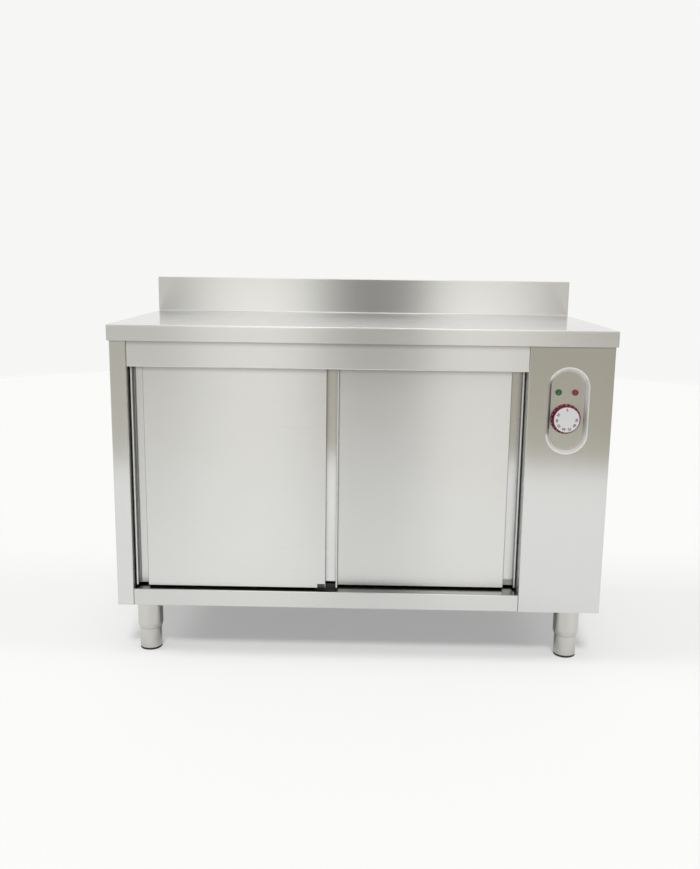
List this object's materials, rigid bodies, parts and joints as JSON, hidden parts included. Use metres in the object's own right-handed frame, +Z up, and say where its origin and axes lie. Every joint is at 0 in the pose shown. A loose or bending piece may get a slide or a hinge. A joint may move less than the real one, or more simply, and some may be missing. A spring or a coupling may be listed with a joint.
{
  "type": "plate warmer cabinet",
  "caption": "Stainless steel plate warmer: worktop with rear upstand over a heated cupboard with sliding doors, a control panel and adjustable legs.",
  "frame": {"origin": "on the floor, in the middle of the footprint", "axes": "+X to the right along the front, +Y to the back, +Z up"},
  "size_m": [1.2, 0.6, 0.928],
  "materials": {
    "worktop_steel": "satin, brushed lengthwise",
    "casing_steel": "satin, brushed upright",
    "liner_steel": "satin",
    "door_steel": "satin, brushed upright",
    "galvanised_steel": "zinc coated, matt",
    "fastener_steel": "bright",
    "leg_steel": "satin, brushed upright",
    "pad_rubber": "matt black",
    "nylon": "natural",
    "aluminium_track": "anodised",
    "mineral_wool": "fibrous",
    "door_core": "fibrous board",
    "dial_maroon": "satin",
    "knob_white": "satin, printed scale",
    "spindle_brass": "turned",
    "green_lens": "clear tinted",
    "red_lens": "clear tinted",
    "black_plastic": "moulded",
    "thermostat_case": "plated",
    "terminal_ceramic": "glazed edges",
    "heater_steel": "heat darkened",
    "motor_paint": "black",
    "impeller_aluminium": "mill finish"
  },
  "bodies": {
    "cabinet": {"air_duct": "galvanised_steel", "back_liner": "liner_steel", "back_panel": "casing_steel", "base_deck": "casing_steel", "base_pan": "casing_steel", "cable_gland": "black_plastic", "casing_screws": "fastener_steel", "ceiling_liner": "liner_steel", "control_panel": "casing_steel", "dial_ring": "dial_maroon", "door_guide": "black_plastic", "door_track": "aluminium_track", "fan_guard": "liner_steel", "fan_motor": "motor_paint", "green_lamp_lens": "green_lens", "header_rail": "casing_steel", "heating_element": "heater_steel", "insulation": "mineral_wool", "lamp_bodies": "black_plastic", "left_side_liner": "liner_steel", "left_side_panel": "casing_steel", "leg_bolts": "fastener_steel", "leg_bushes": "nylon", "leg_sleeves": "leg_steel", "partition": "liner_steel", "red_lamp_lens": "red_lens", "right_side_panel": "casing_steel", "shelf": "liner_steel", "shelf_supports": "liner_steel", "terminal_block": "terminal_ceramic", "thermostat": "thermostat_case", "worktop": "worktop_steel", "worktop_stiffeners": "galvanised_steel"},
    "left_door": {"left_door_skin": "door_steel", "left_door_back": "door_steel", "left_door_core": "door_core", "left_door_hangers": "galvanised_steel", "left_door_glide": "nylon"},
    "right_door": {"right_door_skin": "door_steel", "right_door_back": "door_steel", "right_door_core": "door_core", "right_door_hangers": "galvanised_steel", "right_door_glide": "nylon"},
    "left_door_roller_a": {"left_door_roller_1": "nylon"},
    "left_door_roller_b": {"left_door_roller_2": "nylon"},
    "right_door_roller_a": {"right_door_roller_1": "nylon"},
    "right_door_roller_b": {"right_door_roller_2": "nylon"},
    "knob": {"knob_body": "dial_maroon", "knob_face": "knob_white", "thermostat_spindle": "spindle_brass"},
    "fan": {"fan_impeller": "impeller_aluminium"},
    "front_left_foot_body": {"front_left_foot": "leg_steel", "front_left_pad": "pad_rubber"},
    "front_right_foot_body": {"front_right_foot": "leg_steel", "front_right_pad": "pad_rubber"},
    "back_left_foot_body": {"back_left_foot": "leg_steel", "back_left_pad": "pad_rubber"},
    "back_right_foot_body": {"back_right_foot": "leg_steel", "back_right_pad": "pad_rubber"}
  },
  "joints": [
    {"name": "left_door_slide", "type": "slide", "parent": "cabinet", "child": "left_door", "axis": [1, 0, 0], "range_m": [0, 0.44]},
    {"name": "right_door_slide", "type": "slide", "parent": "cabinet", "child": "right_door", "axis": [-1, 0, 0], "range_m": [0, 0.44]},
    {"name": "left_door_roller_a_spin", "type": "hinge", "parent": "left_door", "child": "left_door_roller_a", "pos_m": [-0.491, -0.2647, 0.7685], "axis": [0, 1, 0], "range_deg": [0, 2530]},
    {"name": "left_door_roller_b_spin", "type": "hinge", "parent": "left_door", "child": "left_door_roller_b", "pos_m": [-0.111, -0.2647, 0.7685], "axis": [0, 1, 0], "range_deg": [0, 2530]},
    {"name": "right_door_roller_a_spin", "type": "hinge", "parent": "right_door", "child": "right_door_roller_a", "pos_m": [-0.0475, -0.2397, 0.7685], "axis": [0, -1, 0], "range_deg": [0, 2530]},
    {"name": "right_door_roller_b_spin", "type": "hinge", "parent": "right_door", "child": "right_door_roller_b", "pos_m": [0.3325, -0.2397, 0.7685], "axis": [0, -1, 0], "range_deg": [0, 2530]},
    {"name": "knob_turn", "type": "hinge", "parent": "cabinet", "child": "knob", "pos_m": [0.488, -0.29, 0.619], "axis": [0, 1, 0], "range_deg": [0, 270]},
    {"name": "fan_spin", "type": "hinge", "parent": "cabinet", "child": "fan", "pos_m": [0.45, 0.04, 0.33], "axis": [1, 0, 0], "continuous": true},
    {"name": "front_left_foot_screw", "type": "slide", "parent": "cabinet", "child": "front_left_foot_body", "axis": [0, 0, -1], "range_m": [-0.008, 0.02]},
    {"name": "front_right_foot_screw", "type": "slide", "parent": "cabinet", "child": "front_right_foot_body", "axis": [0, 0, -1], "range_m": [-0.008, 0.02]},
    {"name": "back_left_foot_screw", "type": "slide", "parent": "cabinet", "child": "back_left_foot_body", "axis": [0, 0, -1], "range_m": [-0.008, 0.02]},
    {"name": "back_right_foot_screw", "type": "slide", "parent": "cabinet", "child": "back_right_foot_body", "axis": [0, 0, -1], "range_m": [-0.008, 0.02]}
  ],
  "couplings": [
    {"joint": "left_door_roller_a_spin", "follows": "left_door_slide", "rad_per_m": 100},
    {"joint": "left_door_roller_b_spin", "follows": "left_door_slide", "rad_per_m": 100},
    {"joint": "right_door_roller_a_spin", "follows": "right_door_slide", "rad_per_m": 100},
    {"joint": "right_door_roller_b_spin", "follows": "right_door_slide", "rad_per_m": 100}
  ]
}
